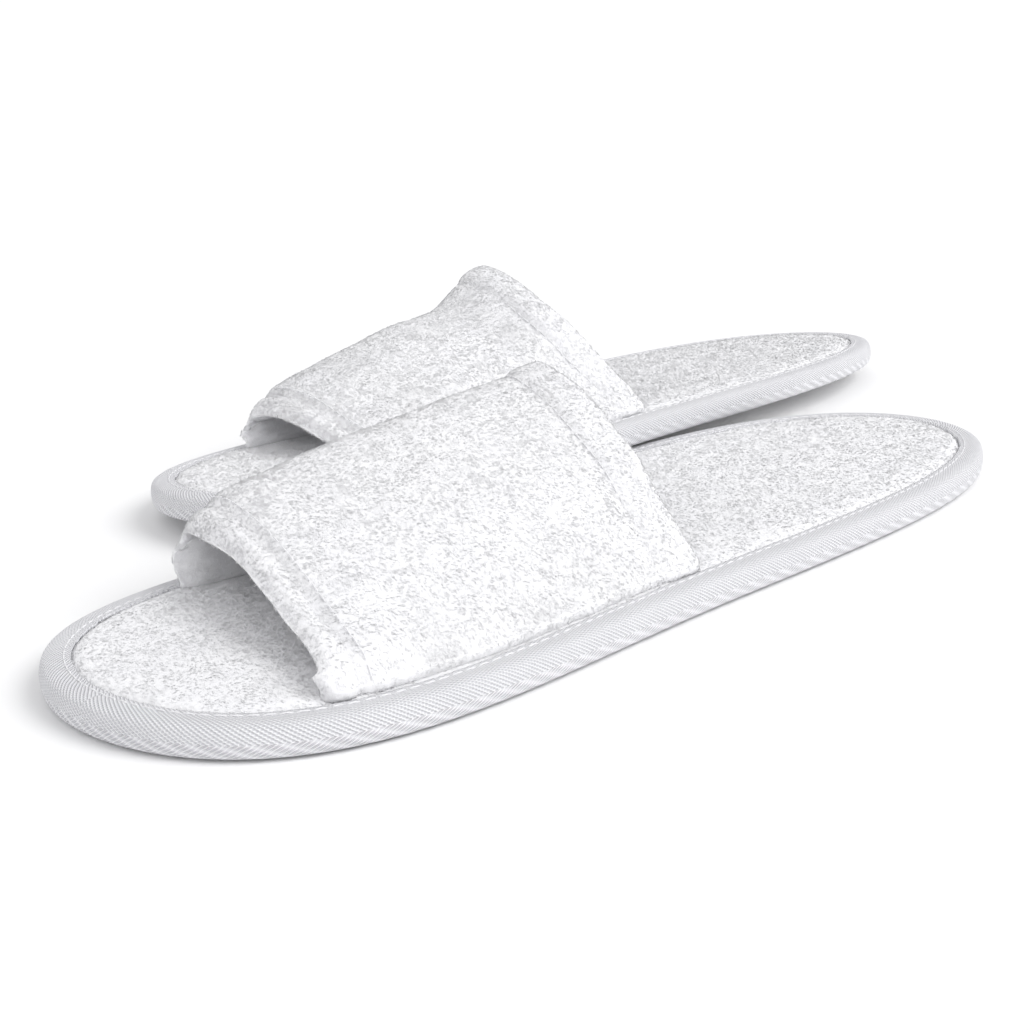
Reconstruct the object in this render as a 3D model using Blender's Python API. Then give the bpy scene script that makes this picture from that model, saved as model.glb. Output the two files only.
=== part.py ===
"""A pair of open-toe terry spa slippers: the right one lies with its inner edge on the left one's rim.

Frame, in metres: +Z up, toes towards -Y, heels towards +Y. The origin is on the floor under the
middle of the left slipper's sole. Both slippers are the same pattern, not mirrored.
"""

import math

import bpy
from mathutils import Euler, Vector

COLLECTION = "spa_slippers"
SHARP_DEGREES = 40

# Sole outline: half width = (WAIST + SKEW * u + FLARE * u^2) * sqrt(1 - |u|^bluntness), u = -1 toe, +1 heel.
SOLE_LENGTH = 0.285
WAIST_HALF_WIDTH = 0.0475
TOE_HEEL_SKEW = 0.0010
END_FLARE = 0.0177
TOE_BLUNTNESS = 3.8
HEEL_BLUNTNESS = 2.05
OUTLINE_POINTS = 40

# Layers of the sole, from the floor up. GAP keeps touching pieces apart.
GAP = 0.0003
OUTSOLE_TOP = 0.0030
BOARD_THICKNESS = 0.0007
PAD_THICKNESS = 0.0013
INSOLE_TOP = 0.0090
CORE_INSET = 0.0013

# Binding tape, folded over the rim of the stacked layers.
TAPE_BOTTOM = 0.00045
TAPE_TOP = 0.0076
TAPE_THICKNESS = 0.0007
TOP_LAP = 0.0064
BOTTOM_LAP = 0.0067
STITCH_INSET = 0.0050
STITCH_RADIUS = 0.00018

# Upper: a terry strap with a foam interlining and a woven lining. Its far side is swept towards the heel.
STRAP_BASE_HEIGHT = 0.0093
STRAP_INSET = 0.0070
STRAP_FRONT_NEAR = -0.1120
STRAP_REAR_NEAR = -0.0105
STRAP_FRONT_FAR = -0.0880
STRAP_REAR_FAR = 0.0210
TERRY_THICKNESS = 0.0020
INTERLINING_THICKNESS = 0.0010
LINING_THICKNESS = 0.0006
STRAP_LAYER_GAP = 0.0007
BASE_BLEND_HEIGHT = 0.0080
FRONT_RISE_POWER = 0.45
STRAP_COLUMNS_PER_SPAN = 2
FRONT_HEM = 0.07
REAR_HEM = 0.88
STRAP_ROWS = (0.0, FRONT_HEM, 0.20, 0.36, 0.52, 0.70, REAR_HEM, 1.0)
HEM_THREAD_RADIUS = 0.00025

# The strap's outer face across the foot: (across, height). +1 is its near base line and -1 its far one.
FRONT_ARCH = (
    (1.00, 0.0000), (0.93, 0.0042), (0.70, 0.0056), (0.45, 0.0068), (0.19, 0.0094), (-0.19, 0.0122),
    (-0.57, 0.0130), (-0.90, 0.0120), (-1.04, 0.0092), (-1.05, 0.0050), (-1.00, 0.0000),
)
REAR_ARCH = (
    (1.00, 0.0000), (0.80, 0.0060), (0.57, 0.0124), (0.37, 0.0184), (0.15, 0.0224), (-0.27, 0.0286),
    (-0.70, 0.0320), (-0.89, 0.0308), (-0.97, 0.0250), (-0.93, 0.0145), (-0.86, 0.0000),
)

# The right slipper: where its sole's middle stands, and how it leans on the left one.
RIGHT_PLACE = (-0.0888, 0.0850, 0.0042)
RIGHT_LEAN_DEGREES = (-0.7, -4.6, 2.1)


def clear_scene():
    for obj in list(bpy.data.objects):
        bpy.data.objects.remove(obj, do_unlink=True)


def make_material(name, color, roughness, sheen=0.0):
    material = bpy.data.materials.new(name)
    material.use_nodes = True
    shader = material.node_tree.nodes["Principled BSDF"]
    shader.inputs["Base Color"].default_value = (*color, 1.0)
    shader.inputs["Roughness"].default_value = roughness
    shader.inputs["Metallic"].default_value = 0.0
    shader.inputs["Sheen Weight"].default_value = sheen
    return material


def half_width(y):
    """Half the sole's width at a distance y along it."""
    u = max(-1.0, min(1.0, 2.0 * y / SOLE_LENGTH))
    bluntness = TOE_BLUNTNESS if u < 0 else HEEL_BLUNTNESS
    waist = WAIST_HALF_WIDTH + TOE_HEEL_SKEW * u + END_FLARE * u * u
    return waist * math.sqrt(max(0.0, 1.0 - abs(u) ** bluntness))


def outline(inset):
    """The sole's outline moved inwards, from the toe round by +X. Point k faces point -k across the foot."""
    points = []
    for k in range(OUTLINE_POINTS):
        turn = 2.0 * math.pi * k / OUTLINE_POINTS
        y = -math.cos(turn) * SOLE_LENGTH / 2
        points.append(Vector((math.copysign(half_width(y), math.sin(turn)), y)))
    moved = []
    for k, point in enumerate(points):
        along = points[(k + 1) % OUTLINE_POINTS] - points[k - 1]
        outward = Vector((along.y, -along.x)).normalized()
        moved.append(point - outward * inset)
    return moved


def add_mesh(name, points, faces, material, slipper):
    mesh = bpy.data.meshes.new(name)
    mesh.from_pydata(points, [], faces)
    mesh.materials.append(material)
    mesh.shade_smooth()
    mesh.set_sharp_from_angle(angle=math.radians(SHARP_DEGREES))
    obj = bpy.data.objects.new(name, mesh)
    obj.parent = slipper
    bpy.data.collections[COLLECTION].objects.link(obj)
    return obj


def rings_of(profile):
    """One ring of points round the sole for each (inset, height) of the profile."""
    points = []
    for inset, height in profile:
        points += [(x, y, height) for x, y in outline(inset)]
    return points


def ring_faces(first, second):
    """Quads between two rings, which face outwards when the second ring is the upper one."""
    faces = []
    for k in range(OUTLINE_POINTS):
        after = (k + 1) % OUTLINE_POINTS
        faces.append((first + k, first + after, second + after, second + k))
    return faces


def cap_faces(first, upward):
    """Strips straight across the foot that close one ring."""
    faces = []
    half = OUTLINE_POINTS // 2
    for k in range(half):
        strip = [first + k, first + k + 1, first + (OUTLINE_POINTS - k - 1), first + (OUTLINE_POINTS - k)]
        if k == 0:
            strip = strip[:3]
        if k == half - 1:
            strip = [first + k, first + k + 1, first + k + 2]
        faces.append(tuple(strip if upward else reversed(strip)))
    return faces


def add_layer(name, profile, material, slipper):
    """A flat layer of the sole: rings from its underside, round its edge, to its top."""
    faces = cap_faces(0, upward=False)
    for level in range(len(profile) - 1):
        faces += ring_faces(level * OUTLINE_POINTS, (level + 1) * OUTLINE_POINTS)
    faces += cap_faces((len(profile) - 1) * OUTLINE_POINTS, upward=True)
    return add_mesh(name, rings_of(profile), faces, material, slipper)


def add_band(name, profile, material, slipper):
    """A closed section carried once round the sole. The profile runs anticlockwise, outer side first."""
    faces = []
    for level in range(len(profile)):
        after = (level + 1) % len(profile)
        faces += ring_faces(level * OUTLINE_POINTS, after * OUTLINE_POINTS)
    return add_mesh(name, rings_of(profile), faces, material, slipper)


def diamond(inset, height, radius):
    """The section of a thin thread."""
    return [
        (inset, height - radius),
        (inset - radius, height),
        (inset, height + radius),
        (inset + radius, height),
    ]


def build_outsole(slipper, material):
    """The foam sole. Its rim is pressed thin where the tape folds under it."""
    step = TAPE_BOTTOM + TAPE_THICKNESS + GAP
    profile = [
        (BOTTOM_LAP + 2 * GAP, 0.0),
        (BOTTOM_LAP + GAP, step),
        (CORE_INSET + 0.0011, step),
        (CORE_INSET, step + 0.0008),
        (CORE_INSET, OUTSOLE_TOP),
    ]
    add_layer(slipper["side"] + "_outsole", profile, material, slipper)


def build_flat_layer(slipper, material, name, bottom, thickness):
    profile = [(CORE_INSET, bottom), (CORE_INSET, bottom + thickness)]
    add_layer(slipper["side"] + name, profile, material, slipper)


def build_insole_cover(slipper, material, bottom):
    """The terry footbed. Its rim lies under the tape's top lap and its pile stands a little above it."""
    rim = TAPE_TOP - TAPE_THICKNESS - GAP
    profile = [
        (CORE_INSET, bottom),
        (CORE_INSET + 0.0002, bottom + GAP),
        (CORE_INSET + 0.0012, rim),
        (TOP_LAP + GAP, rim),
        (TOP_LAP + 0.0006, INSOLE_TOP - 0.0010),
        (TOP_LAP + 0.0021, INSOLE_TOP - 0.0002),
        (TOP_LAP + 0.0070, INSOLE_TOP),
    ]
    add_layer(slipper["side"] + "_insole_cover", profile, material, slipper)


def build_binding(slipper, tape_material, thread_material):
    """The tape round the rim, and the two threads of its lockstitch."""
    side_low = TAPE_BOTTOM + 0.0026
    side_high = TAPE_TOP - 0.0024
    inner_bottom = TAPE_BOTTOM + TAPE_THICKNESS
    inner_top = TAPE_TOP - TAPE_THICKNESS
    profile = [
        (BOTTOM_LAP, TAPE_BOTTOM), (0.0022, TAPE_BOTTOM), (0.0006, TAPE_BOTTOM + 0.0008), (0.0, side_low),
        (0.0, side_high), (0.0006, TAPE_TOP - 0.0007), (0.0022, TAPE_TOP), (TOP_LAP, TAPE_TOP),
        (TOP_LAP, inner_top), (0.0024, inner_top), (0.0012, inner_top - 0.0005),
        (TAPE_THICKNESS, side_high), (TAPE_THICKNESS, side_low), (0.0012, inner_bottom + 0.0006),
        (0.0024, inner_bottom), (BOTTOM_LAP, inner_bottom),
    ]
    add_band(slipper["side"] + "_binding_tape", profile, tape_material, slipper)
    needle = diamond(STITCH_INSET, TAPE_TOP + STITCH_RADIUS + 0.0001, STITCH_RADIUS)
    add_band(slipper["side"] + "_binding_needle_thread", needle, thread_material, slipper)
    bobbin = diamond(STITCH_INSET, TAPE_BOTTOM - STITCH_RADIUS - 0.00005, STITCH_RADIUS)
    add_band(slipper["side"] + "_binding_bobbin_thread", bobbin, thread_material, slipper)


def through_points(points, spans, along):
    """A smooth curve through the points (Catmull-Rom), at a place from 0 to the number of spans."""
    span = min(int(along), spans - 1)
    t = along - span
    before = points[max(span - 1, 0)]
    start = points[span]
    end = points[span + 1]
    after = points[min(span + 2, spans)]
    blended = []
    for a, b, c, d in zip(before, start, end, after):
        blended.append(
            b + 0.5 * t * (c - a + t * (2 * a - 5 * b + 4 * c - d + t * (3 * (b - c) + d - a)))
        )
    return blended


def strap_point(column, row):
    """A point of the strap's outer face. column and row run from 0 to 1: near to far base, front to rear."""
    spans = len(FRONT_ARCH) - 1
    rise = row ** FRONT_RISE_POWER
    front_across, front_height = through_points(FRONT_ARCH, spans, column * spans)
    rear_across, rear_height = through_points(REAR_ARCH, spans, column * spans)
    across = front_across + (rear_across - front_across) * rise
    height = front_height + (rear_height - front_height) * rise
    near_y = STRAP_FRONT_NEAR + (STRAP_REAR_NEAR - STRAP_FRONT_NEAR) * row
    far_y = STRAP_FRONT_FAR + (STRAP_REAR_FAR - STRAP_FRONT_FAR) * row
    y = near_y + (far_y - near_y) * (1.0 - across) / 2
    return Vector((across * (half_width(y) - STRAP_INSET), y, STRAP_BASE_HEIGHT + height))


def strap_outward(column, row):
    """The direction out of the strap's face. Near its base it lies level, so that layers end side by side."""
    step = 0.01
    across = strap_point(min(column + step, 1.0), row) - strap_point(max(column - step, 0.0), row)
    rearward = strap_point(column, min(row + step, 1.0)) - strap_point(column, max(row - step, 0.0))
    outward = rearward.cross(across).normalized()
    height = strap_point(column, row).z - STRAP_BASE_HEIGHT
    outward.z *= min(1.0, height / BASE_BLEND_HEIGHT)
    return outward


def build_strap_layer(slipper, material, name, depth, thickness):
    """One layer of the strap, with its outer face at a depth below the strap's outer face."""
    columns = (len(FRONT_ARCH) - 1) * STRAP_COLUMNS_PER_SPAN + 1
    points = []
    for face_depth in (depth, depth + thickness):
        for row in STRAP_ROWS:
            for i in range(columns):
                column = i / (columns - 1)
                points.append(strap_point(column, row) - strap_outward(column, row) * face_depth)
    last_row = len(STRAP_ROWS) - 1
    inner = columns * len(STRAP_ROWS)
    faces = []
    for j in range(last_row):
        for i in range(columns - 1):
            corner = j * columns + i
            quad = (corner, corner + columns, corner + columns + 1, corner + 1)
            faces.append(quad)
            faces.append(tuple(index + inner for index in reversed(quad)))
    for i in range(columns - 1):
        rear = last_row * columns + i
        faces.append((i, i + 1, inner + i + 1, inner + i))
        faces.append((rear + 1, rear, inner + rear, inner + rear + 1))
    for j in range(last_row):
        near = j * columns
        far = near + columns - 1
        faces.append((near + columns, near, inner + near, inner + near + columns))
        faces.append((far, far + columns, inner + far + columns, inner + far))
    add_mesh(slipper["side"] + name, points, faces, material, slipper)


def build_hem_thread(slipper, material, name, row):
    """The row of stitching that holds a turned-in edge of the strap, lying on its outer face."""
    count = (len(FRONT_ARCH) - 1) * STRAP_COLUMNS_PER_SPAN
    curve = bpy.data.curves.new(slipper["side"] + name, "CURVE")
    curve.dimensions = "3D"
    curve.bevel_depth = HEM_THREAD_RADIUS
    curve.bevel_resolution = 1
    curve.use_fill_caps = True
    curve.materials.append(material)
    spline = curve.splines.new("POLY")
    spline.points.add(count - 2)
    lift = HEM_THREAD_RADIUS + 0.0002
    for i, point in enumerate(spline.points):
        column = (i + 1) / count
        place = strap_point(column, row) + strap_outward(column, row).normalized() * lift
        point.co = (*place, 1.0)
    obj = bpy.data.objects.new(slipper["side"] + name, curve)
    obj.parent = slipper
    bpy.data.collections[COLLECTION].objects.link(obj)


def build_slipper(slipper, looks):
    build_outsole(slipper, looks["outsole"])
    board_bottom = OUTSOLE_TOP + GAP
    build_flat_layer(slipper, looks["board"], "_stiffener_board", board_bottom, BOARD_THICKNESS)
    pad_bottom = board_bottom + BOARD_THICKNESS + GAP
    build_flat_layer(slipper, looks["pad"], "_foam_pad", pad_bottom, PAD_THICKNESS)
    build_insole_cover(slipper, looks["terry"], pad_bottom + PAD_THICKNESS + GAP)
    build_binding(slipper, looks["tape"], looks["thread"])
    interlining_depth = TERRY_THICKNESS + STRAP_LAYER_GAP
    lining_depth = interlining_depth + INTERLINING_THICKNESS + STRAP_LAYER_GAP
    build_strap_layer(slipper, looks["terry"], "_upper_terry", 0.0, TERRY_THICKNESS)
    build_strap_layer(
        slipper, looks["pad"], "_upper_interlining", interlining_depth, INTERLINING_THICKNESS
    )
    build_strap_layer(slipper, looks["lining"], "_upper_lining", lining_depth, LINING_THICKNESS)
    build_hem_thread(slipper, looks["thread"], "_front_hem_thread", FRONT_HEM)
    build_hem_thread(slipper, looks["thread"], "_rear_hem_thread", REAR_HEM)


def add_slipper_empty(side, place, lean_degrees):
    """The empty that carries one slipper. Its own frame has the sole's underside at z = 0."""
    empty = bpy.data.objects.new(side + "_slipper", None)
    empty.location = place
    empty.rotation_euler = Euler([math.radians(angle) for angle in lean_degrees], "XYZ")
    empty["side"] = side
    bpy.data.collections[COLLECTION].objects.link(empty)
    return empty


def make_looks():
    return {
        "terry": make_material("terry_cotton", (0.88, 0.88, 0.89), 0.95, sheen=0.3),
        "tape": make_material("herringbone_tape", (0.90, 0.90, 0.91), 0.75),
        "lining": make_material("woven_lining", (0.86, 0.86, 0.87), 0.85),
        "pad": make_material("white_foam", (0.85, 0.85, 0.83), 0.95),
        "board": make_material("fibre_board", (0.70, 0.66, 0.58), 0.90),
        "outsole": make_material("foam_outsole", (0.87, 0.87, 0.87), 0.60),
        "thread": make_material("sewing_thread", (0.92, 0.92, 0.93), 0.70),
    }


def main():
    clear_scene()
    bpy.context.scene.collection.children.link(bpy.data.collections.new(COLLECTION))
    looks = make_looks()
    left = add_slipper_empty("left", (0.0, 0.0, 0.0), (0.0, 0.0, 0.0))
    right = add_slipper_empty("right", RIGHT_PLACE, RIGHT_LEAN_DEGREES)
    for slipper in (left, right):
        build_slipper(slipper, looks)


main()
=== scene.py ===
"""Looks for a pair of open-toe terry spa slippers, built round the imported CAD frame.

Metres, in the row frame: +Z up, toes towards -Y, heels towards +Y, origin on the floor under the middle
of the left sole. Both slippers are cut to one pattern, so each piece is shaped in the slipper's own
frame and then put where its slipper lies.
"""
import math

import bpy
import numpy as np
from mathutils import Euler, Matrix, Vector, noise


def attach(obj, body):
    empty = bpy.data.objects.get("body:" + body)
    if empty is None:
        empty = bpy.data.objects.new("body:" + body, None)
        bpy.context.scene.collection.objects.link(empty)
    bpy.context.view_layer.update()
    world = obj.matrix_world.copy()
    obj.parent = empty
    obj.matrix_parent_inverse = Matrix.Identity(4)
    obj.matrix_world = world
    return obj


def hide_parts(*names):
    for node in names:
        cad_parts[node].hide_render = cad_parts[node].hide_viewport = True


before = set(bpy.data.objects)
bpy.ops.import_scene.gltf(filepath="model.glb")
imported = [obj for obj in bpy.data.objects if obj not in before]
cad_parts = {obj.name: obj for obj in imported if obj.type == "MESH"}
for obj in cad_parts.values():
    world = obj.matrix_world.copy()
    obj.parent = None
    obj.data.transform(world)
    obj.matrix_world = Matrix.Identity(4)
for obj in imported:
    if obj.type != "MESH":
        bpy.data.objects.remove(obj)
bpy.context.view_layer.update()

SIDES = ("left", "right")

# The sole's outline and the strap's arches, as the CAD has them.
SOLE_LENGTH = 0.285
WAIST_HALF_WIDTH = 0.0475
TOE_HEEL_SKEW = 0.0010
END_FLARE = 0.0177
TOE_BLUNTNESS = 3.8
HEEL_BLUNTNESS = 2.05
OUTSOLE_TOP = 0.0030
PAD_TOP = 0.0056
TAPE_BOTTOM = 0.00045
TAPE_TOP = 0.0076
TAPE_THICKNESS = 0.0007
TOP_LAP = 0.0064
BOTTOM_LAP = 0.0067
STITCH_INSET = 0.0050
STRAP_BASE_HEIGHT = 0.0093
STRAP_INSET = 0.0070
STRAP_FRONT_NEAR = -0.1120
STRAP_REAR_NEAR = -0.0105
STRAP_FRONT_FAR = -0.0880
STRAP_REAR_FAR = 0.0210
STRAP_WIDTH = 0.1050
BASE_BLEND_HEIGHT = 0.0080
FRONT_RISE_POWER = 0.45
FRONT_HEM = 0.07
REAR_HEM = 0.88
FRONT_ARCH = (
    (1.00, 0.0000), (0.93, 0.0042), (0.70, 0.0056), (0.45, 0.0068), (0.19, 0.0094), (-0.19, 0.0122),
    (-0.57, 0.0130), (-0.90, 0.0120), (-1.04, 0.0092), (-1.05, 0.0050), (-1.00, 0.0000),
)
REAR_ARCH = (
    (1.00, 0.0000), (0.80, 0.0060), (0.57, 0.0124), (0.37, 0.0184), (0.15, 0.0224), (-0.27, 0.0286),
    (-0.70, 0.0320), (-0.89, 0.0308), (-0.97, 0.0250), (-0.93, 0.0145), (-0.86, 0.0000),
)
RIGHT_PLACE = (-0.0888, 0.0850, 0.0042)
RIGHT_LEAN_DEGREES = (-0.7, -4.6, 2.1)
RIGHT_LEAN = np.array(Euler([math.radians(angle) for angle in RIGHT_LEAN_DEGREES], "XYZ").to_matrix())

# How finely the visual meshes are divided.
RIM_POINTS = 720
STRAP_ROWS = 72
STRAP_COLUMNS = 80
INSOLE_ROWS = 260
INSOLE_COLUMNS = 84

# Terry: the cloth that carries the pile lies a little under the CAD face, and the pile stands proud of it.
# The front edge is a share of the strap's width, and it lies a little before the CAD's.
FRONT_EDGE = -0.022
TERRY_THICKNESS = 0.0020
LIP_THICKNESS = 0.0052
LIP_WIDTH = 0.0200
ROLL_THICKNESS = 0.0062
ROLL_WIDTH = 0.0125
GROOVE_DEPTH = 0.0010
GROOVE_WIDTH = 0.0013
SKIRT_DROP = 0.0022
SKIRT_STEP = 0.01
DEEPEST_DENT = 0.0002
STRAP_PILE_DEPTH = 0.0007
STRAP_PILE_LENGTH = 0.0008
INSOLE_PILE_LENGTH = 0.0007
TUFTS = 38000
PILE_WIDTH = 0.00015
PILE_RISE = 0.40
PILE_RISE_SPREAD = 0.12
PILE_UNTIDINESS = 0.8
PILE_PATCH = 0.0050
LENGTH_PATCH = 0.0035
ROOT_LIFT = 0.00008
ROOT_DEPTH = 0.00020

# Under the strap's terry: how deep the two faces of each layer lie, and where the layers start and end.
FOAM_DEPTHS = (0.0028, 0.0037)
LINING_DEPTHS = (0.0040, 0.0046)
LAYER_FRONT = 0.05
LAYER_REAR = 0.92
LAYER_ROWS = 60
LAYER_COLUMNS = 121

# How the right strap has been pressed out of the common shape, away from its sewn base.
BASE_FADE = 0.008
FRONT_SAG = -0.0040
MIDDLE_SAG = -0.0008
CREST_LIFT = 0.0075
CREST_SHIFT = -0.0130

# Sewing.
STITCH_PITCH = 0.0034
STITCH_LENGTH = 0.0026
STITCH_RADIUS = 0.00017
HEM_STITCH_PITCH = 0.0040
HEM_STITCH_LENGTH = 0.0030

# Camera, as distances and angles from the object.
CAMERA_AIM = (0.0081, -0.0355, 0.0200)
CAMERA_DISTANCE = 0.389
CAMERA_AZIMUTH = 45.17
CAMERA_ELEVATION = 16.1
CAMERA_ROLL = -2.26
CAMERA_LENS = 61.8


# ---------------------------------------------------------------- shapes

def half_width(y):
    """Half the sole's width at a distance y along it."""
    u = np.clip(2.0 * y / SOLE_LENGTH, -1.0, 1.0)
    bluntness = np.where(u < 0, TOE_BLUNTNESS, HEEL_BLUNTNESS)
    waist = WAIST_HALF_WIDTH + TOE_HEEL_SKEW * u + END_FLARE * u * u
    return waist * np.sqrt(np.maximum(0.0, 1.0 - np.abs(u) ** bluntness))


def rim(count):
    """Evenly spaced points of the sole's outline, from the toe round by +X, and which way is out at each."""
    turn = np.linspace(0.0, 2.0 * math.pi, 4001)
    y = -np.cos(turn) * SOLE_LENGTH / 2
    x = np.copysign(half_width(y), np.sin(turn))
    along = np.concatenate([[0.0], np.cumsum(np.hypot(np.diff(x), np.diff(y)))])
    even = np.linspace(0.0, along[-1], count, endpoint=False)
    points = np.stack([np.interp(even, along, x), np.interp(even, along, y)], axis=1)
    tangent = np.roll(points, -1, axis=0) - np.roll(points, 1, axis=0)
    outward = np.stack([tangent[:, 1], -tangent[:, 0]], axis=1)
    outward /= np.linalg.norm(outward, axis=1, keepdims=True)
    return points, outward, along[-1]


RIM, RIM_OUTWARD, RIM_LENGTH = rim(RIM_POINTS)


def smooth_step(value, start, end):
    t = np.clip((value - start) / (end - start), 0.0, 1.0)
    return t * t * (3.0 - 2.0 * t)


def through_points(points, along):
    """A smooth curve through the points (Catmull-Rom), at places from 0 to 1."""
    points = np.array(points)
    last = len(points) - 1
    span = np.minimum((along * last).astype(int), last - 1)
    t = (along * last - span)[:, None]
    a = points[np.maximum(span - 1, 0)]
    b = points[span]
    c = points[span + 1]
    d = points[np.minimum(span + 2, last)]
    return b + 0.5 * t * (c - a + t * (2 * a - 5 * b + 4 * c - d + t * (3 * (b - c) + d - a)))


def strap_face(rows, columns):
    """The strap's CAD outer face: for each row, from front to rear, a line of points across the foot."""
    rows = rows[:, None]
    rise = np.maximum(rows, 0.0) ** FRONT_RISE_POWER
    front = through_points(FRONT_ARCH, columns)
    rear = through_points(REAR_ARCH, columns)
    across = front[:, 0] + (rear[:, 0] - front[:, 0]) * rise
    height = front[:, 1] + (rear[:, 1] - front[:, 1]) * rise
    near_y = STRAP_FRONT_NEAR + (STRAP_REAR_NEAR - STRAP_FRONT_NEAR) * rows
    far_y = STRAP_FRONT_FAR + (STRAP_REAR_FAR - STRAP_FRONT_FAR) * rows
    y = near_y + (far_y - near_y) * (1.0 - across) / 2
    return np.stack([across * (half_width(y) - STRAP_INSET), y, STRAP_BASE_HEIGHT + height], axis=-1)


def strap_outward(rows, columns):
    """The direction out of the strap's face, laid level near its base."""
    step = 0.01
    to_far = strap_face(rows, np.minimum(columns + step, 1.0))
    across = to_far - strap_face(rows, np.maximum(columns - step, 0.0))
    level_rows = np.clip(rows, 0.0, 1.0)
    behind = strap_face(np.minimum(level_rows + step, 1.0), columns)
    rearward = behind - strap_face(np.maximum(level_rows - step, 0.0), columns)
    outward = np.cross(rearward, across)
    outward /= np.linalg.norm(outward, axis=-1, keepdims=True)
    height = strap_face(rows, columns)[..., 2] - STRAP_BASE_HEIGHT
    outward[..., 2] *= np.minimum(1.0, height / BASE_BLEND_HEIGHT)
    return outward


def strap_layer(rows, columns, depth):
    """The strap's face, moved in by each row's depth. Columns past 0 and 1 hang down beside the tape."""
    on_face = np.clip(columns, 0.0, 1.0)
    points = strap_face(rows, on_face) - strap_outward(rows, on_face) * depth[:, None, None]
    skirt = np.abs(columns - on_face)
    points[..., 2] -= SKIRT_DROP * skirt / max(skirt.max(), 1e-9)
    return points


def settled(side, points):
    """The right strap has been pressed: its front sags and the rear edge's crest is pushed up and forward."""
    if side == "left":
        return points
    flat = points.reshape(-1, 3).copy()
    across = flat[:, 0] / np.maximum(half_width(flat[:, 1]) - STRAP_INSET, 0.001)
    share = (1.0 - across) / 2
    front = STRAP_FRONT_NEAR + (STRAP_FRONT_FAR - STRAP_FRONT_NEAR) * share
    rear = STRAP_REAR_NEAR + (STRAP_REAR_FAR - STRAP_REAR_NEAR) * share
    row = (flat[:, 1] - front) / (rear - front)
    off_base = smooth_step(flat[:, 2] - STRAP_BASE_HEIGHT, 0.0, BASE_FADE)
    front_half = 1.0 - smooth_step(row, 0.0, 0.55)
    sag = (1.0 - smooth_step(across, 0.0, 0.9)) * front_half
    far_half = 1.0 - smooth_step(across, 0.1, 1.1)
    flat[:, 2] += off_base * FRONT_SAG * sag
    lift = MIDDLE_SAG * smooth_step(row, 0.2, 0.6) + CREST_LIFT * smooth_step(row, 0.70, 0.96)
    flat[:, 2] += off_base * far_half * lift
    flat[:, 1] += off_base * far_half * CREST_SHIFT * smooth_step(row, 0.3, 1.0)
    return flat.reshape(points.shape)


def lumps(points, size, seed):
    """Smooth noise from -1 to 1 at each point, with lumps of about that size."""
    shift = Vector((7.1 * seed, 3.7 * seed, 5.3 * seed))
    flat = points.reshape(-1, 3) / size
    return np.array([noise.noise(Vector(p) + shift) for p in flat]).reshape(points.shape[:-1])


# ---------------------------------------------------------------- meshes

def grid_faces(rows, columns, closed_rows=False, closed_columns=False):
    """Quads of a grid of points numbered row by row. A closed direction joins its end to its start."""
    j = np.arange(rows if closed_rows else rows - 1)[:, None]
    i = np.arange(columns if closed_columns else columns - 1)[None, :]
    after_j = (j + 1) % rows
    after_i = (i + 1) % columns
    corners = [j * columns + i, after_j * columns + i, after_j * columns + after_i, j * columns + after_i]
    return np.stack(np.broadcast_arrays(*corners), axis=-1).reshape(-1, 4)


def shell(outer, inner):
    """A closed skin between two grids of points of the same shape."""
    rows, columns = outer.shape[:2]
    count = rows * columns
    quads = grid_faces(rows, columns)
    edge = np.concatenate([
        np.arange(columns - 1),
        columns - 1 + columns * np.arange(rows - 1),
        count - 1 - np.arange(columns - 1),
        columns * (rows - 1) - columns * np.arange(rows - 1),
    ])
    after = np.roll(edge, -1)
    sides = np.stack([edge, after, after + count, edge + count], axis=1)
    points = np.concatenate([outer.reshape(-1, 3), inner.reshape(-1, 3)])
    return points, np.concatenate([quads, quads[:, ::-1] + count, sides])


def band(profile):
    """A closed section, given as (inset, height) points, carried once round the sole."""
    inset, height = np.array(profile).T
    flat = RIM[:, None] - RIM_OUTWARD[:, None] * inset[None, :, None]
    points = np.dstack([flat, np.broadcast_to(height, flat.shape[:2])])
    return points, grid_faces(RIM_POINTS, len(profile), True, True)


def make_mesh(name, points, faces):
    """A smooth mesh. Faces are an array, or a list where they have unlike numbers of corners."""
    mesh = bpy.data.meshes.new(name)
    corners = faces if isinstance(faces, list) else faces.tolist()
    mesh.from_pydata(points.reshape(-1, 3).tolist(), [], corners)
    mesh.shade_smooth()
    return mesh


def add_piece(side, name, points, faces, material, slot, replaces=(), normals=None):
    """A piece given in its slipper's own frame, put where that slipper lies and on its body."""
    points = points.reshape(-1, 3)
    if side == "right":
        points = points @ RIGHT_LEAN.T + np.array(RIGHT_PLACE)
    mesh = make_mesh(side + "_" + name, points, faces)
    if normals is not None:
        normals = normals.reshape(-1, 3)
        if side == "right":
            normals = normals @ RIGHT_LEAN.T
        mesh.normals_split_custom_set_from_vertices(normals.tolist())
    mesh.materials.append(material)
    piece = bpy.data.objects.new(mesh.name, mesh)
    bpy.context.scene.collection.objects.link(piece)
    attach(piece, side + "_slipper")
    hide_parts(*[side + "_" + node for node in replaces])
    return piece


def subdivided(points, faces):
    """The points and quads of a Catmull-Clark subdivision. Each quad gives four, in order."""
    source = bpy.data.objects.new("subdivided", make_mesh("subdivided", points, faces))
    bpy.context.scene.collection.objects.link(source)
    source.modifiers.new("subdivision", "SUBSURF").levels = 1
    finer = source.evaluated_get(bpy.context.evaluated_depsgraph_get()).data
    new_points = np.zeros(len(finer.vertices) * 3)
    finer.vertices.foreach_get("co", new_points)
    new_faces = np.zeros(len(finer.polygons) * 4, int)
    finer.polygons.foreach_get("vertices", new_faces)
    bpy.data.objects.remove(source)
    return new_points.reshape(-1, 3), new_faces.reshape(-1, 4)


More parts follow.
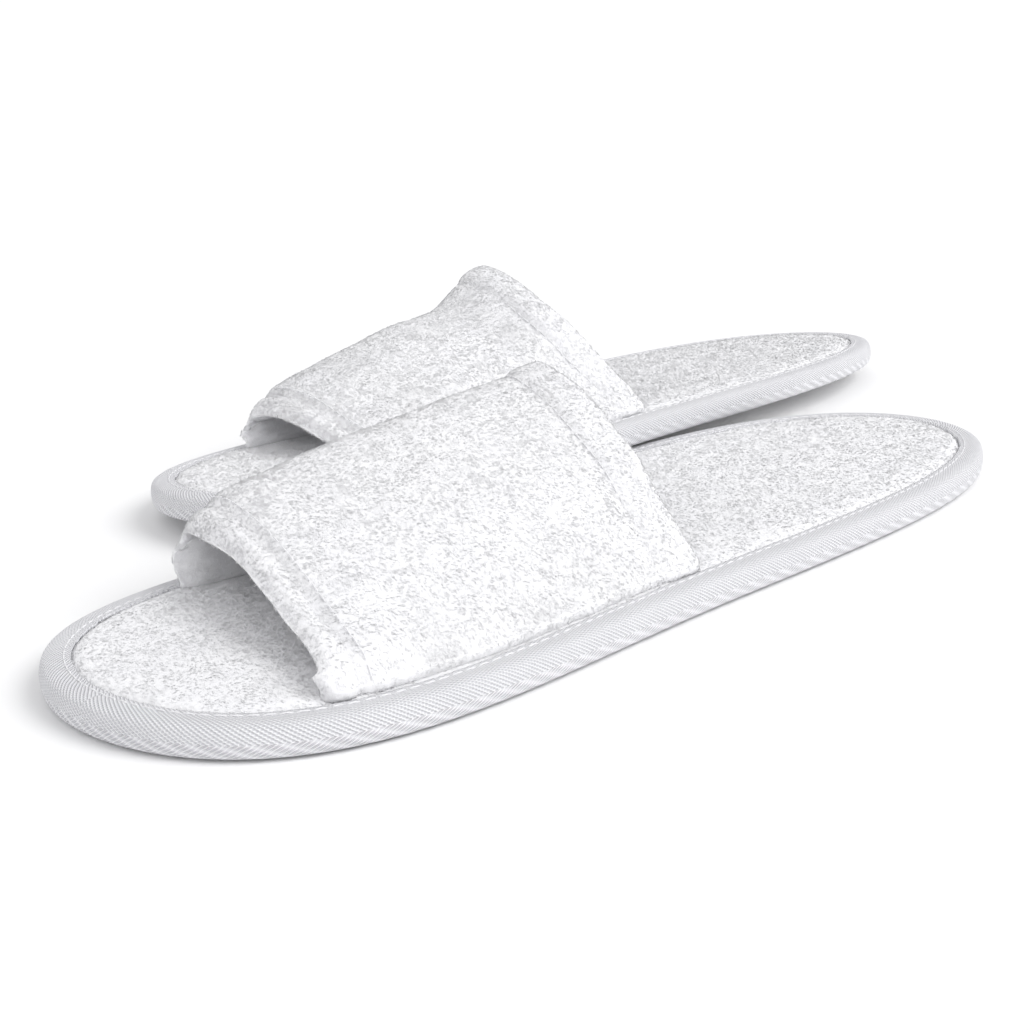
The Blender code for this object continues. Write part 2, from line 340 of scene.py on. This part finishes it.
def unit(vectors):
    return vectors / np.maximum(np.linalg.norm(vectors, axis=1, keepdims=True), 1e-12)


def vertex_normals(points, faces):
    """The way out at each point of a mesh of quads, larger faces counting for more."""
    diagonal = points[faces[:, 2]] - points[faces[:, 0]]
    other = points[faces[:, 3]] - points[faces[:, 1]]
    face_normals = np.cross(diagonal, other)
    normals = np.zeros_like(points)
    for corner in range(4):
        np.add.at(normals, faces[:, corner], face_normals)
    return unit(normals)


def pile(points, faces, normals, length, seed):
    """Terry pile: fine pointed tufts all over the faces, brushed over in patches.

    Light scatters through the cotton of real pile, so each tuft takes its shading from the cloth under it.
    Returns the tufts' points, their faces and the shading normal of each point.
    """
    random = np.random.default_rng(seed)
    diagonal = points[faces[:, 2]] - points[faces[:, 0]]
    area = np.linalg.norm(np.cross(diagonal, points[faces[:, 3]] - points[faces[:, 1]]), axis=1)
    chosen = faces[random.choice(len(faces), TUFTS, p=area / area.sum())]
    u, v = random.random((2, TUFTS, 1))
    weights = [(1 - u) * (1 - v), u * (1 - v), u * v, (1 - u) * v]
    root = sum(w * points[chosen[:, k]] for k, w in enumerate(weights))
    normal = unit(sum(w * normals[chosen[:, k]] for k, w in enumerate(weights)))
    brushed = np.stack([lumps(root, PILE_PATCH, seed + k) for k in (11, 12, 13)], axis=1)
    lean = unit(brushed) + PILE_UNTIDINESS * random.normal(size=(TUFTS, 3))
    lean = unit(lean - normal * np.sum(lean * normal, axis=1, keepdims=True))
    rise = PILE_RISE + PILE_RISE_SPREAD * random.normal(size=(TUFTS, 1))
    direction = unit(lean + normal * rise)
    patchy = 0.30 * lumps(root, LENGTH_PATCH, seed)[:, None]
    reach = length * (1.0 + patchy + 0.15 * random.normal(size=(TUFTS, 1)))
    side_on = unit(np.cross(direction, normal)) * PILE_WIDTH / 2
    lifted = root + normal * ROOT_LIFT
    corners = [lifted - side_on, lifted + side_on, root - normal * ROOT_DEPTH, root + direction * reach]
    first = 4 * np.arange(TUFTS)[:, None, None]
    faces_of_one = np.array([[0, 1, 3], [1, 0, 2], [2, 0, 3], [1, 2, 3]])
    return np.stack(corners, axis=1), (first + faces_of_one).reshape(-1, 3), np.repeat(normal, 4, axis=0)


# ---------------------------------------------------------------- materials

def new_material(name, roughness, sheen=0.0, scatter=0.0):
    """A material, its node tree and its shader. Scatter is the share of light that spreads inside."""
    material = bpy.data.materials.new(name)
    material.use_nodes = True
    shader = material.node_tree.nodes["Principled BSDF"]
    shader.inputs["Roughness"].default_value = roughness
    shader.inputs["Sheen Weight"].default_value = sheen
    shader.inputs["Sheen Roughness"].default_value = 0.5
    shader.inputs["Subsurface Weight"].default_value = scatter
    shader.inputs["Subsurface Scale"].default_value = 0.0015
    shader.inputs["Subsurface Radius"].default_value = (1.0, 1.0, 1.0)
    return material, material.node_tree, shader


def feed(tree, socket, value):
    """Links a socket into an input, or sets a number or colour on it."""
    if isinstance(value, bpy.types.NodeSocket):
        tree.links.new(value, socket)
    else:
        socket.default_value = value


def add_node(tree, kind, **inputs):
    """A node with its inputs fed by name. _ stands for a space."""
    node = tree.nodes.new("ShaderNode" + kind)
    for key, value in inputs.items():
        feed(tree, node.inputs[key.replace("_", " ")], value)
    return node


def calculate(tree, operation, *values):
    """One sum on sockets or numbers."""
    node = tree.nodes.new("ShaderNodeMath")
    node.operation = operation
    for socket, value in zip(node.inputs, values):
        feed(tree, socket, value)
    return node.outputs[0]


def object_place(tree):
    """Where a point lies in the piece's own coordinates."""
    return tree.nodes.new("ShaderNodeTexCoord").outputs["Object"]


def waves(tree, distance, pitch):
    """A sine from -1 to 1 that repeats with the pitch."""
    return calculate(tree, "SINE", calculate(tree, "MULTIPLY", distance, 2.0 * math.pi / pitch))


def lump_texture(tree, size, detail=3.0):
    """Noise with lumps of about that size, in the piece's own coordinates."""
    texture = add_node(tree, "TexNoise", Vector=object_place(tree), Scale=1.0 / size, Detail=detail)
    return texture.outputs["Fac"]


def two_tones(tree, shader, share, dark, light):
    """The shader's colour runs from the dark to the light tone with a share from 0 to 1."""
    ramp = tree.nodes.new("ShaderNodeValToRGB")
    ramp.color_ramp.elements[0].position = 0.25
    ramp.color_ramp.elements[0].color = (*dark, 1.0)
    ramp.color_ramp.elements[1].position = 0.75
    ramp.color_ramp.elements[1].color = (*light, 1.0)
    tree.links.new(share, ramp.inputs["Fac"])
    tree.links.new(ramp.outputs["Color"], shader.inputs["Base Color"])


def raise_surface(tree, shader, height, distance):
    """Relief in the shading: a height from 0 to 1 stands for that distance."""
    bump = add_node(tree, "Bump", Height=height, Distance=distance)
    tree.links.new(bump.outputs["Normal"], shader.inputs["Normal"])


def terry_material():
    """The looped ground cloth under the pile."""
    material, tree, shader = new_material("terry_ground", 0.95, sheen=0.1, scatter=0.7)
    loops = lump_texture(tree, 0.0012, detail=4.0)
    two_tones(tree, shader, lump_texture(tree, 0.010), (0.84, 0.84, 0.86), (0.89, 0.89, 0.90))
    raise_surface(tree, shader, loops, 0.00010)
    return material


def pile_material():
    """The cotton of the pile: a shade brighter on some tufts than on others, and in soft patches."""
    material, tree, shader = new_material("terry_pile", 0.90, sheen=0.1)
    patches = lump_texture(tree, 0.009)
    threads = lump_texture(tree, 0.0009)
    share = calculate(tree, "MULTIPLY", calculate(tree, "ADD", patches, threads), 0.5)
    two_tones(tree, shader, share, (0.93, 0.93, 0.95), (0.99, 0.99, 1.00))
    return material


def tape_material():
    """Herringbone twill: slanting ribs that meet along the middle of the tape, crossed by fine yarns."""
    rib_pitch = 0.00135
    rib_slope = 1.6
    yarn_pitch = 0.00062
    yarn_slant = 0.35
    material, tree, shader = new_material("herringbone_tape", 0.62, sheen=0.1)
    cloth = add_node(tree, "SeparateXYZ", Vector=tree.nodes.new("ShaderNodeUVMap").outputs["UV"])
    along, across = cloth.outputs["X"], cloth.outputs["Y"]
    away = calculate(tree, "ABSOLUTE", across)
    slant = calculate(tree, "ADD", along, calculate(tree, "MULTIPLY", away, rib_slope))
    ribs = waves(tree, slant, rib_pitch)
    cross = calculate(tree, "SUBTRACT", calculate(tree, "MULTIPLY", along, yarn_slant), across)
    yarns = waves(tree, cross, yarn_pitch)
    weave = calculate(tree, "MULTIPLY_ADD", yarns, 0.5, ribs)
    share = calculate(tree, "MULTIPLY_ADD", weave, 0.30, 0.55)
    cloudiness = calculate(tree, "MULTIPLY_ADD", lump_texture(tree, 0.012), 0.3, -0.15)
    two_tones(tree, shader, calculate(tree, "ADD", share, cloudiness), (0.66, 0.66, 0.69), (0.88, 0.88, 0.90))
    raise_surface(tree, shader, weave, 0.00013)
    return material


def woven_material():
    """The strap's plain-weave lining."""
    thread_pitch = 2.0 * math.pi / 9000.0
    material, tree, shader = new_material("woven_lining", 0.85, sheen=0.1)
    place = add_node(tree, "SeparateXYZ", Vector=object_place(tree))
    warp = waves(tree, place.outputs["X"], thread_pitch)
    weft = waves(tree, place.outputs["Y"], thread_pitch)
    weave = calculate(tree, "MULTIPLY", warp, weft)
    share = calculate(tree, "MULTIPLY_ADD", weave, 0.15, lump_texture(tree, 0.008))
    two_tones(tree, shader, share, (0.76, 0.76, 0.78), (0.84, 0.84, 0.85))
    raise_surface(tree, shader, weave, 0.00008)
    return material


def foam_material(name, dark, light, cell, roughness=0.9):
    """Closed-cell foam: fine pits and a faint cloudiness."""
    material, tree, shader = new_material(name, roughness)
    cells = add_node(tree, "TexVoronoi", Vector=object_place(tree), Scale=1.0 / cell).outputs["Distance"]
    two_tones(tree, shader, lump_texture(tree, 0.012), dark, light)
    raise_surface(tree, shader, cells, 0.00015)
    return material


def board_material():
    """Pressed fibre board."""
    material, tree, shader = new_material("fibre_board", 0.9)
    fibres = lump_texture(tree, 0.0012, detail=6.0)
    two_tones(tree, shader, fibres, (0.56, 0.50, 0.42), (0.74, 0.69, 0.60))
    raise_surface(tree, shader, fibres, 0.0001)
    return material


def thread_material():
    """Spun sewing thread with a fine twist."""
    material, tree, shader = new_material("sewing_thread", 0.7, sheen=0.2)
    twist = lump_texture(tree, 0.0004)
    two_tones(tree, shader, twist, (0.78, 0.78, 0.80), (0.90, 0.90, 0.91))
    raise_surface(tree, shader, twist, 0.00008)
    return material


def make_looks():
    return {
        "terry": terry_material(),
        "pile": pile_material(),
        "tape": tape_material(),
        "lining": woven_material(),
        "foam": foam_material("white_foam", (0.76, 0.76, 0.74), (0.85, 0.85, 0.83), 0.0009),
        "outsole": foam_material("foam_outsole", (0.74, 0.74, 0.75), (0.83, 0.83, 0.84), 0.0006, 0.6),
        "board": board_material(),
        "thread": thread_material(),
    }


# ---------------------------------------------------------------- sole

def build_outsole(side, look):
    """The foam sole: its rim is pressed thin where the tape folds under, and small studs grip the floor."""
    step = TAPE_BOTTOM + TAPE_THICKNESS + 0.0003
    sunk = 0.0004
    profile = [
        (0.0078, sunk), (0.0074, 0.0006), (0.0072, step), (0.0026, step), (0.0016, step + 0.0006),
        (0.0014, step + 0.0012), (0.0014, OUTSOLE_TOP),
    ]
    rings = np.concatenate([
        np.column_stack([RIM - RIM_OUTWARD * inset, np.full(RIM_POINTS, height)]) for inset, height in profile
    ])
    levels = grid_faces(len(profile), RIM_POINTS, closed_columns=True)[:, ::-1]
    half = RIM_POINTS // 2
    k = np.arange(1, half - 1)
    strips = np.stack([k, k + 1, RIM_POINTS - k - 1, RIM_POINTS - k], axis=1)
    top = (len(profile) - 1) * RIM_POINTS
    faces = levels.tolist() + strips[:, ::-1].tolist() + (strips + top).tolist()
    for first, upward in ((0, False), (top, True)):
        for tip in ([0, 1, RIM_POINTS - 1], [half - 1, half, half + 1]):
            corners = [first + corner for corner in tip]
            faces.append(corners if upward else corners[::-1])
    points = rings.tolist()
    for x, y in stud_places():
        add_stud(points, faces, x, y, sunk)
    return add_piece(side, "outsole_foam", np.array(points), faces, look, "outsole", ["outsole"])


def stud_places():
    """Middles of the studs, in staggered rows over the underside."""
    pitch = 0.0062
    margin = 0.0110
    rows = int(SOLE_LENGTH / pitch)
    for row in range(rows):
        y = (row - (rows - 1) / 2) * pitch
        reach = float(half_width(np.array(y))) - margin
        across = int(max(reach, 0.0) / pitch)
        staggered = row % 2 == 1
        for column in range(-across, across + (0 if staggered else 1)):
            x = (column + (0.5 if staggered else 0.0)) * pitch
            if abs(y) <= SOLE_LENGTH / 2 - margin and abs(x) <= reach:
                yield x, y


def add_stud(points, faces, x, y, top):
    """One stud, a little narrower at the floor than at the sole."""
    radius = 0.0014
    corners = 12
    first = len(points)
    for height, size in ((top + 0.0003, 1.15), (0.0, 0.9)):
        for k in range(corners):
            turn = 2.0 * math.pi * k / corners
            points.append([x + radius * size * math.cos(turn), y + radius * size * math.sin(turn), height])
    for k in range(corners):
        after = (k + 1) % corners
        faces.append([first + k, first + corners + k, first + corners + after, first + after])
    faces.append([first + k for k in range(corners)])
    faces.append([first + corners + k for k in reversed(range(corners))])


def insole_height(inset):
    """How high the terry footbed's ground cloth lies, by the distance in from the rim."""
    insets = (0.0055, 0.0064, 0.0072, 0.0088, 0.0134, 0.0300)
    heights = (0.0064, 0.0067, 0.0074, 0.0080, 0.0083, 0.0084)
    return np.interp(inset, insets, heights)


def build_insole(side, seed, looks):
    """The padded terry footbed, softly uneven, and its pile."""
    ring = RIM - RIM_OUTWARD * 0.0055
    k = np.linspace(3, RIM_POINTS / 2 - 3, INSOLE_ROWS)
    x = np.interp(k, np.arange(RIM_POINTS), ring[:, 0])
    y = np.interp(k, np.arange(RIM_POINTS), ring[:, 1])
    across = np.sin(np.linspace(0.5, -0.5, INSOLE_COLUMNS) * math.pi)
    top = np.stack(np.broadcast_arrays(x[:, None] * across, y[:, None], 0.0), axis=-1)
    gaps = [np.hypot(line[:, None, 0] - RIM[:, 0], line[:, None, 1] - RIM[:, 1]).min(axis=1) for line in top]
    inset = np.array(gaps)
    uneven = 0.00022 * lumps(top, 0.016, seed) + 0.00012 * lumps(top, 0.004, seed + 1)
    top[..., 2] = insole_height(inset) + uneven * smooth_step(inset, 0.0065, 0.010)
    bottom = top.copy()
    bottom[..., 2] = PAD_TOP + 0.0001
    points, faces = shell(top, bottom)
    cover = add_piece(side, "insole_terry", points, faces, looks["terry"], "terry", ["insole_cover"])
    shown = grid_faces(*top.shape[:2])
    normals = vertex_normals(points, shown)
    tufts, tuft_faces, shading = pile(points, shown, normals, INSOLE_PILE_LENGTH, seed + 2)
    add_piece(side, "insole_pile", tufts, tuft_faces, looks["pile"], "terry", normals=shading)


# ---------------------------------------------------------------- binding

def tape_profile():
    """The tape's outer face, from under the sole round the rim to the top, and the way out at each point."""
    outer = np.array([
        (BOTTOM_LAP, TAPE_BOTTOM), (0.0044, TAPE_BOTTOM), (0.0022, TAPE_BOTTOM), (0.0006, 0.00125),
        (0.0, 0.00305), (0.0, 0.0052), (0.0006, 0.0069), (0.0022, TAPE_TOP), (0.0043, TAPE_TOP),
        (TOP_LAP, TAPE_TOP),
    ])
    line = through_points(outer, np.linspace(0.0, 1.0, 37))
    tangent = np.gradient(line, axis=0)
    return line, unit(np.stack([-tangent[:, 1], tangent[:, 0]], axis=1))


def build_tape(side, seed, looks):
    """Herringbone tape folded over the rim. Its top edge is drawn in a little at the stitches."""
    line, out = tape_profile()
    closed = np.concatenate([line, (line - out * TAPE_THICKNESS)[::-1]])
    points, faces = band(closed)
    along = np.arange(RIM_POINTS) * RIM_LENGTH / RIM_POINTS
    places = np.column_stack([RIM, np.zeros(RIM_POINTS)])
    nearness = smooth_step(closed[:, 0], 0.0028, TOP_LAP) * (closed[:, 1] > TAPE_TOP / 2)
    drawn = 0.5 + 0.5 * np.cos(2.0 * math.pi * along / STITCH_PITCH)
    waver = 0.00022 * lumps(places, 0.007, seed) + 0.00016 * lumps(places, 0.0022, seed + 1)
    points[..., 2] += (waver - 0.00008 * drawn)[:, None] * nearness
    points[..., :2] += (1.6 * waver[:, None] * RIM_OUTWARD)[:, None] * nearness[:, None]
    tape = add_piece(side, "tape", points, faces, looks["tape"], "tape", ["binding_tape"])
    across = np.concatenate([[0.0], np.cumsum(np.hypot(*np.diff(line, axis=0).T))])
    across -= across[-1] / 2
    lay_out(tape.data, along, np.concatenate([across, across[::-1]]))
    return tape


def lay_out(mesh, along, across):
    """UVs in metres on the cloth: along the tape and across it, measured from its middle."""
    columns = len(across)
    column = np.arange(columns)
    after = (column + 1) % columns
    step = along[1] - along[0]
    uv = np.zeros((len(along), columns, 4, 2))
    uv[..., 0] = along[:, None, None] + step * np.array([0, 1, 1, 0])
    uv[..., 1] = np.stack([across[column], across[column], across[after], across[after]], axis=-1)
    mesh.uv_layers.new(name="cloth").data.foreach_set("uv", uv.ravel())


def stitches(middles, directions, ups, length):
    """A run of stitches, each a short rounded thread that dips into the cloth at its two ends."""
    shape = (
        (-0.50, 0.35, -0.8), (-0.42, 0.8, -0.2), (-0.2, 1.0, 0.25),
        (0.2, 1.0, 0.25), (0.42, 0.8, -0.2), (0.50, 0.35, -0.8),
    )
    sides_of_thread = 6
    asides = np.cross(directions, ups)
    rings = []
    for place, size, rise in shape:
        centre = middles + directions * place * length + ups * rise * STITCH_RADIUS
        for k in range(sides_of_thread):
            turn = 2.0 * math.pi * k / sides_of_thread
            swing = asides * math.cos(turn) + ups * math.sin(turn)
            rings.append(centre + swing * STITCH_RADIUS * size)
    points = np.stack(rings, axis=1)
    one = [list(face[::-1]) for face in grid_faces(len(shape), sides_of_thread, closed_columns=True)]
    one.append(list(range(sides_of_thread)))
    one.append([len(rings) - 1 - k for k in range(sides_of_thread)])
    faces = []
    for first in range(0, len(middles) * len(rings), len(rings)):
        faces += [[first + int(corner) for corner in face] for face in one]
    return points, faces


def build_binding_stitches(side, looks):
    """The lockstitch through the tape: the needle thread on top and the bobbin thread underneath."""
    count = int(RIM_LENGTH / STITCH_PITCH)
    points, outward, _ = rim(count)
    flat = points - outward * STITCH_INSET
    along = np.column_stack([-outward[:, 1], outward[:, 0], np.zeros(count)])
    up = np.tile((0.0, 0.0, 1.0), (count, 1))
    run = stitches(np.column_stack([flat, np.full(count, TAPE_TOP)]), along, up, STITCH_LENGTH)
    add_piece(side, "needle_stitches", *run, looks["thread"], "thread", ["binding_needle_thread"])
    run = stitches(np.column_stack([flat, np.full(count, TAPE_BOTTOM)]), along, -up, STITCH_LENGTH)
    add_piece(side, "bobbin_stitches", *run, looks["thread"], "thread", ["binding_bobbin_thread"])


# ---------------------------------------------------------------- strap

def rounding(distance, radius):
    """1 at an edge and 0 a radius in from it, along a quarter of a circle."""
    t = 1.0 - np.clip(distance / radius, 0.0, 1.0)
    return 1.0 - np.sqrt(1.0 - t * t)


def terry_depths(rows):
    """How deep the terry's outer and inner sides lie in each row. The cloth is folded in at both edges."""
    from_front = (rows - FRONT_EDGE) * STRAP_WIDTH
    from_rear = (1.0 - rows) * STRAP_WIDTH
    front_zone = 1.0 - smooth_step(from_front, LIP_WIDTH - 0.0015, LIP_WIDTH + 0.0015)
    rear_zone = 1.0 - smooth_step(from_rear, ROLL_WIDTH - 0.0010, ROLL_WIDTH + 0.0020)
    outer = STRAP_PILE_DEPTH - 0.0004 * front_zone - 0.0009 * rear_zone
    for distance, hem in ((from_front, FRONT_HEM), (from_rear, 1.0 - REAR_HEM)):
        outer = outer + GROOVE_DEPTH * np.exp(-(((distance - hem * STRAP_WIDTH) / GROOVE_WIDTH) ** 2))
    inner = TERRY_THICKNESS + (LIP_THICKNESS - TERRY_THICKNESS) * front_zone
    inner = inner + (ROLL_THICKNESS - TERRY_THICKNESS) * rear_zone
    for distance, thickness in ((from_front, LIP_THICKNESS), (from_rear, ROLL_THICKNESS)):
        turned = rounding(distance, thickness / 2)
        outer = outer + (thickness / 2 - outer) * turned
        inner = inner + (thickness / 2 - inner) * turned
    return outer, inner


def terry_strap():
    """The terry of a strap in the slipper's frame: its points, its quads, and which quads carry pile."""
    even = np.linspace(0.0, math.pi, STRAP_ROWS)
    rows = FRONT_EDGE + (1.0 - FRONT_EDGE) * (0.5 - 0.5 * np.cos(even))
    before = [-2 * SKIRT_STEP, -SKIRT_STEP]
    beyond = [1.0 + SKIRT_STEP, 1.0 + 2 * SKIRT_STEP]
    columns = np.concatenate([before, np.linspace(0.0, 1.0, STRAP_COLUMNS), beyond])
    outer_depth, inner_depth = terry_depths(rows)
    points, faces = shell(strap_layer(rows, columns, outer_depth), strap_layer(rows, columns, inner_depth))
    middle_rows = 0.5 * (rows[:-1] + rows[1:]) * STRAP_WIDTH
    front_fold = middle_rows - FRONT_EDGE * STRAP_WIDTH < LIP_WIDTH
    rear_fold = middle_rows > STRAP_WIDTH - ROLL_WIDTH
    quads_per_row = len(columns) - 1
    outside = np.ones(len(middle_rows) * quads_per_row, bool)
    inside = np.repeat(front_fold | rear_fold, quads_per_row)
    sides = np.ones(len(faces) - 2 * len(outside), bool)
    return points, faces, np.concatenate([outside, inside, sides])


def unevenness(points):
    """How far the strap's terry stands out of its smooth shape. Its dents stay shallow, above the foam."""
    swells = 0.00055 * lumps(points, 0.022, 6)
    dents = 0.00022 * lumps(points, 0.007, 7)
    return np.maximum(swells + dents, -DEEPEST_DENT)


def build_strap(side, seed, strap, looks):
    """One strap: terry with its pile, foam and lining inside it, and two rows of hem stitches."""
    points, faces, piled = strap
    points, faces = subdivided(points, faces)
    piled = np.repeat(piled, 4)
    normals = vertex_normals(points, faces)
    own_noise = points + seed * 0.1
    points = settled(side, points + normals * unevenness(own_noise)[:, None])
    terry = add_piece(side, "strap_terry", points, faces, looks["terry"], "terry", ["upper_terry"])
    normals = vertex_normals(points, faces)
    tufts, tuft_faces, shading = pile(points, faces[piled], normals, STRAP_PILE_LENGTH, seed)
    add_piece(side, "strap_pile", tufts, tuft_faces, looks["pile"], "terry", normals=shading)
    build_inner_layers(side, looks)
    build_hem_stitches(side, looks)


def inner_layer(side, depths):
    """A layer of cloth or foam between two depths under the strap's face."""
    rows = np.linspace(LAYER_FRONT, LAYER_REAR, LAYER_ROWS)
    columns = np.linspace(0.0, 1.0, LAYER_COLUMNS)
    outer, inner = (
        settled(side, strap_layer(rows, columns, np.full(LAYER_ROWS, depth))) for depth in depths
    )
    return shell(outer, inner)


def build_inner_layers(side, looks):
    """The foam interlining and the lining, whose front and rear edges lie inside the folded terry."""
    points, faces = inner_layer(side, FOAM_DEPTHS)
    foam = add_piece(side, "strap_foam", points, faces, looks["foam"], "foam", ["upper_interlining"])
    points, faces = inner_layer(side, LINING_DEPTHS)
    lining = add_piece(side, "strap_lining", points, faces, looks["lining"], "lining", ["upper_lining"])


def build_hem_stitches(side, looks):
    """A row of stitches in the groove of each hem."""
    fine = np.linspace(0.01, 0.99, 1200)
    look_ahead = 0.0005
    for name, hem in (("front", FRONT_HEM), ("rear", REAR_HEM)):
        row = np.array([hem])
        depth = terry_depths(row)[0][0] - STITCH_RADIUS
        line = settled(side, strap_face(row, fine)[0] - strap_outward(row, fine)[0] * depth)
        along = np.concatenate([[0.0], np.cumsum(np.linalg.norm(np.diff(line, axis=0), axis=1))])
        count = int(along[-1] / HEM_STITCH_PITCH)
        middle = (np.arange(count) + 0.5) * HEM_STITCH_PITCH
        places = np.stack([np.interp(middle, along, line[:, axis]) for axis in range(3)], axis=1)
        ahead = np.stack([np.interp(middle + look_ahead, along, line[:, axis]) for axis in range(3)], axis=1)
        ups = unit(strap_outward(row, np.interp(middle, along, fine))[0])
        run = stitches(places, unit(ahead - places), ups, HEM_STITCH_LENGTH)
        add_piece(side, name + "_hem_stitches", *run, looks["thread"], "thread", [name + "_hem_thread"])


# ---------------------------------------------------------------- whole object

def build_slipper(side, seed, strap, looks):
    """One slipper from the floor up. The board and the foam pad stay as the CAD has them."""
    outsole = build_outsole(side, looks["outsole"])
    build_insole(side, seed, looks)
    tape = build_tape(side, seed + 20, looks)
    build_binding_stitches(side, looks)
    build_strap(side, seed + 40, strap, looks)
    for node, look in (("_stiffener_board", "board"), ("_foam_pad", "foam")):
        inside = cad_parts[side + node]
        inside.data.materials.clear()
        inside.data.materials.append(looks[look])


def build_floor():
    """A plain pale floor that runs out of the picture."""
    reach = 40.0
    signs = ((-1, -1), (1, -1), (1, 1), (-1, 1))
    corners = np.array([(reach * x, reach * y, 0.0) for x, y in signs])
    mesh = make_mesh("floor", corners, np.array([[0, 1, 2, 3]]))
    material, tree, shader = new_material("pale_floor", 0.9)
    two_tones(tree, shader, lump_texture(tree, 0.4), (0.955, 0.955, 0.955), (0.965, 0.965, 0.965))
    mesh.materials.append(material)
    floor = bpy.data.objects.new("floor", mesh)
    bpy.context.scene.collection.objects.link(floor)


def add_sun(name, place, softness, strength):
    """Soft light that comes from a place's direction and is equally strong all over the floor."""
    light = bpy.data.lights.new(name, "SUN")
    light.angle = math.radians(softness)
    light.energy = strength
    holder = bpy.data.objects.new(name, light)
    holder.location = place
    holder.rotation_euler = (-holder.location).to_track_quat("-Z", "Y").to_euler()
    bpy.context.scene.collection.objects.link(holder)


def light_studio():
    """White light from all round, whitest near the floor, a soft key from the heel side and a weak fill."""
    world = bpy.data.worlds.new("studio")
    world.use_nodes = True
    tree = world.node_tree
    way = tree.nodes.new("ShaderNodeTexCoord").outputs["Generated"]
    up = add_node(tree, "SeparateXYZ", Vector=way).outputs["Z"]
    fall = add_node(tree, "MapRange", Value=up, From_Min=0.04, From_Max=0.35, To_Min=1.05, To_Max=0.66)
    background = tree.nodes["Background"]
    background.inputs["Color"].default_value = (0.985, 0.985, 1.0, 1.0)
    tree.links.new(fall.outputs["Result"], background.inputs["Strength"])
    bpy.context.scene.world = world
    bpy.context.scene.view_settings.view_transform = "Standard"
    add_sun("key", (0.95, 0.40, 0.95), 40.0, 1.75)
    add_sun("fill", (0.35, -0.80, 0.80), 60.0, 0.35)


def place_camera():
    azimuth = math.radians(CAMERA_AZIMUTH)
    elevation = math.radians(CAMERA_ELEVATION)
    roll = math.radians(CAMERA_ROLL)
    back = Vector((
        math.sin(azimuth) * math.cos(elevation),
        -math.cos(azimuth) * math.cos(elevation),
        math.sin(elevation),
    ))
    level = Vector((math.cos(azimuth), math.sin(azimuth), 0.0))
    upright = back.cross(level)
    right = level * math.cos(roll) + upright * math.sin(roll)
    up = upright * math.cos(roll) - level * math.sin(roll)
    data = bpy.data.cameras.new("camera")
    data.lens = CAMERA_LENS
    data.clip_start = 0.01
    camera = bpy.data.objects.new("camera", data)
    turned = Matrix((right, up, back)).transposed().to_4x4()
    camera.matrix_world = Matrix.Translation(Vector(CAMERA_AIM) + back * CAMERA_DISTANCE) @ turned
    bpy.context.scene.collection.objects.link(camera)
    bpy.context.scene.camera = camera


def main():
    looks = make_looks()
    strap = terry_strap()
    for seed, side in enumerate(SIDES):
        build_slipper(side, 100 * (seed + 1), strap, looks)
    build_floor()
    light_studio()
    place_camera()


main()
